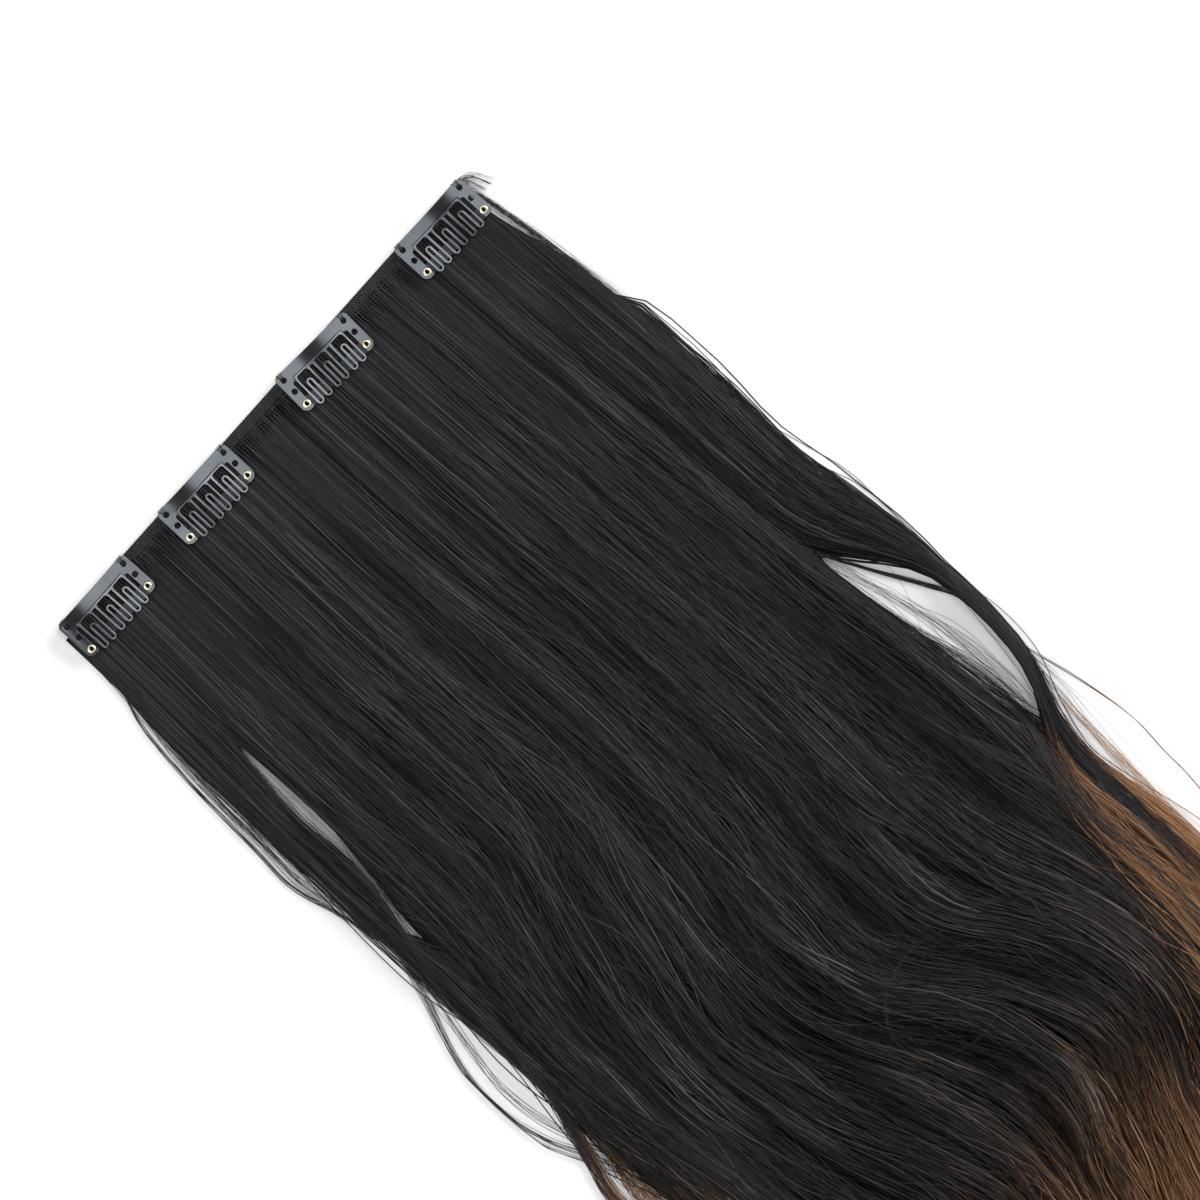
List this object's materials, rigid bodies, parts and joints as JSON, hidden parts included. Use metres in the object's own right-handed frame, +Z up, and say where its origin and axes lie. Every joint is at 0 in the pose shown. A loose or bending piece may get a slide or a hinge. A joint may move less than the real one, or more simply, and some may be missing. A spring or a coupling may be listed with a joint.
{
  "type": "clip-in hair extension",
  "caption": "Wide weft of long, dark, wavy hair sewn to a narrow stitched track, with curved snap comb clips along the track.",
  "frame": {"origin": "middle of the stitched track's flat underside, on the surface that the extension lies on", "axes": "+X along the track, to the right when the clips face the viewer and the hair hangs down; -Y the way the hair flows; +Z up off the surface, through the clips"},
  "size_m": [0.2139, 0.546, 0.0101],
  "materials": {
    "hair": "soft sheen, black at the root and brown at the ends",
    "track": "matt stitched hair",
    "clip_steel": "glossy black lacquer on spring steel",
    "eyelet": "pale polished"
  },
  "bodies": {
    "weft": {"track": "track", "hair": "hair", "clip_1_plate": "clip_steel", "clip_1_band": "clip_steel", "clip_1_eyelet_left": "eyelet", "clip_1_eyelet_right": "eyelet", "clip_2_plate": "clip_steel", "clip_2_band": "clip_steel", "clip_2_eyelet_left": "eyelet", "clip_2_eyelet_right": "eyelet", "clip_3_plate": "clip_steel", "clip_3_band": "clip_steel", "clip_3_eyelet_left": "eyelet", "clip_3_eyelet_right": "eyelet", "clip_4_plate": "clip_steel", "clip_4_band": "clip_steel", "clip_4_eyelet_left": "eyelet", "clip_4_eyelet_right": "eyelet"},
    "comb_1": {"clip_1_comb": "clip_steel"},
    "comb_2": {"clip_2_comb": "clip_steel"},
    "comb_3": {"clip_3_comb": "clip_steel"},
    "comb_4": {"clip_4_comb": "clip_steel"}
  },
  "joints": [
    {"name": "comb_1_lift", "type": "hinge", "parent": "weft", "child": "comb_1", "pos_m": [-0.0817, -0.00237, 0.0033], "axis": [-1, -0.0017, 0], "range_deg": [0, 40]},
    {"name": "comb_2_lift", "type": "hinge", "parent": "weft", "child": "comb_2", "pos_m": [-0.03343, -0.00237, 0.0033], "axis": [-0.9998, 0.0175, 0], "range_deg": [0, 40]},
    {"name": "comb_3_lift", "type": "hinge", "parent": "weft", "child": "comb_3", "pos_m": [0.02411, -0.00237, 0.0033], "axis": [-0.9984, 0.0558, 0], "range_deg": [0, 40]},
    {"name": "comb_4_lift", "type": "hinge", "parent": "weft", "child": "comb_4", "pos_m": [0.08128, -0.00237, 0.0033], "axis": [-1, 0.007, 0], "range_deg": [0, 40]}
  ]
}
